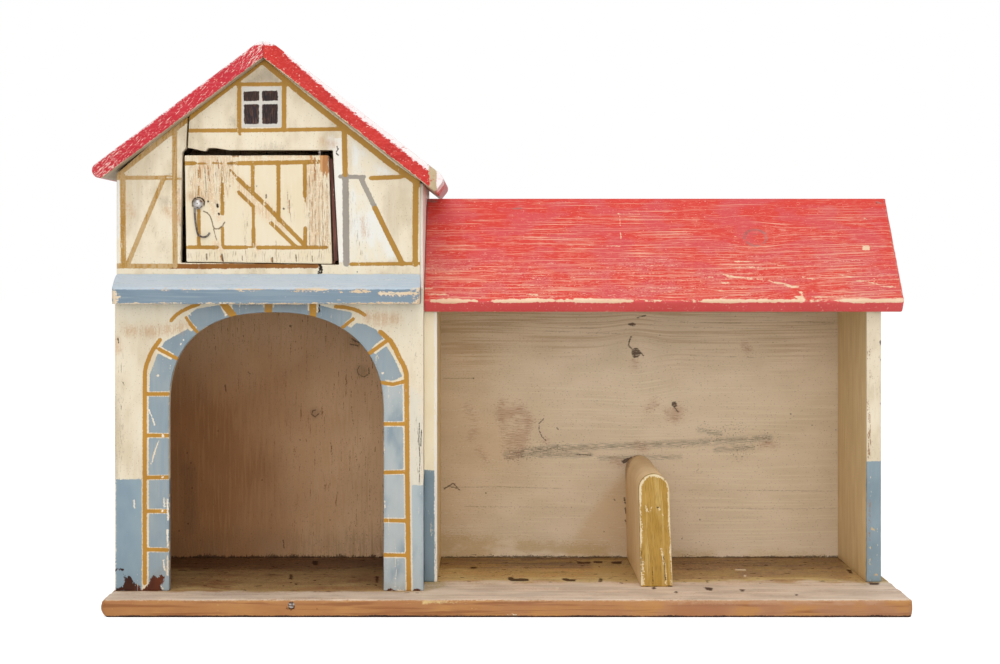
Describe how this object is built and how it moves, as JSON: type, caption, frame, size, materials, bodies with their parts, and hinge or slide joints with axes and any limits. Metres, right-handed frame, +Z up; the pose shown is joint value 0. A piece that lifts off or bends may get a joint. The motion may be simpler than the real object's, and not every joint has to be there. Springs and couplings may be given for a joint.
{
  "type": "toy stable",
  "caption": "Painted wooden toy stable: gabled tower with an arched stall, a loft hatch on pivots with a wire hook, and an open shed with a stall partition on one baseboard.",
  "frame": {"origin": "centre of the baseboard's underside, on the surface that the stable stands on", "axes": "+X along the front towards the shed's end, +Y from the open front to the back, +Z up"},
  "size_m": [0.5571, 0.2323, 0.3863],
  "materials": {
    "varnished_pine": "pine board, thin amber varnish, worn bare on top",
    "cream_paint": "pine board under cream enamel, cracked along the grain",
    "stained_board": "pine board under a thin brownish wash",
    "blue_paint": "pine batten under grey-blue enamel with chipped edges",
    "red_paint": "pine board under red enamel, worn to the cream ground on the grain",
    "ochre_paint": "pine board, cream sides and an ochre front edge",
    "nail_steel": "bright wire nails with dulled heads",
    "dark_wire": "dark steel wire with brown rust"
  },
  "bodies": {
    "stable": {"baseboard": "varnished_pine", "arch_board": "cream_paint", "gable_board": "cream_paint", "ledge": "blue_paint", "tower_left_wall": "cream_paint", "tower_right_wall": "cream_paint", "tower_back_wall": "stained_board", "loft_floor": "stained_board", "tower_roof_left": "red_paint", "tower_roof_right": "red_paint", "shed_left_wall": "cream_paint", "shed_right_wall": "cream_paint", "shed_back_wall": "cream_paint", "shed_roof_front": "red_paint", "shed_roof_rear": "red_paint", "stall_partition": "ochre_paint", "pivot_nail_top": "nail_steel", "pivot_nail_bottom": "nail_steel", "base_nails": "nail_steel", "base_edge_nail": "nail_steel", "front_nails": "nail_steel", "ledge_nails": "nail_steel", "back_nails": "nail_steel", "loft_nails": "nail_steel", "tower_roof_nails": "nail_steel", "shed_roof_nails": "nail_steel"},
    "hatch": {"hatch_door": "cream_paint", "latch_nail": "nail_steel"},
    "hook": {"latch_hook": "dark_wire"}
  },
  "joints": [
    {"name": "hatch_swing", "type": "hinge", "parent": "stable", "child": "hatch", "pos_m": [-0.1288, -0.068, 0.273], "axis": [0, 0, 1], "range_deg": [0, 115]},
    {"name": "hook_swing", "type": "hinge", "parent": "hatch", "child": "hook", "pos_m": [-0.2114, -0.07395, 0.2764], "axis": [0, 1, 0], "continuous": true}
  ]
}
